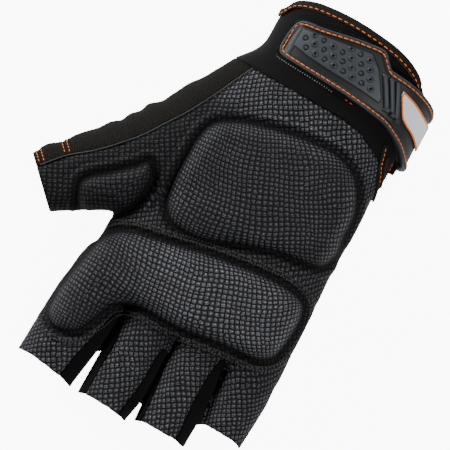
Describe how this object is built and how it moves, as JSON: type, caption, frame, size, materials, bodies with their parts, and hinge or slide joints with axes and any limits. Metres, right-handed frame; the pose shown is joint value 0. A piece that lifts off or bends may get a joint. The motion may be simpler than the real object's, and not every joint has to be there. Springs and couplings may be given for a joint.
{
  "type": "impact glove",
  "caption": "Half-finger impact glove with padded leather palm, stretch knit back and a strapped neoprene cuff.",
  "frame": {"origin": "centre of the bounding box on the surface that the glove lies on", "axes": "+Z out of the palm, up; +Y towards the fingertips; +X towards the thumb"},
  "size_m": [0.132, 0.1848, 0.0466],
  "materials": {
    "leather": "black synthetic leather embossed with small scales",
    "pad_leather": "black synthetic leather embossed with small scales, over foam",
    "knit": "black stretch knit with fine ribs",
    "gusset": "black stretch fabric",
    "neoprene": "black laminated neoprene, matt and smooth",
    "binding": "brownish black woven tape sewn with orange thread",
    "hook_tape": "black hook tape",
    "moulded_rubber": "dark grey moulded rubber, satin",
    "label": "white moulded patch with an orange border"
  },
  "bodies": {
    "root": {"palm_panel": "leather", "heel_pad": "pad_leather", "knuckle_pad": "pad_leather", "thumb_pad": "pad_leather", "back_panel": "knit", "thumb_hem": "knit", "little_ring_gusset": "gusset", "ring_middle_gusset": "gusset", "middle_index_gusset": "gusset", "cuff": "neoprene", "cuff_binding": "binding", "slit_binding_palm": "binding", "slit_binding_back": "binding", "wrist_strap": "neoprene", "hook_tape": "hook_tape", "pull_tab": "moulded_rubber", "label": "label"}
  },
  "joints": []
}
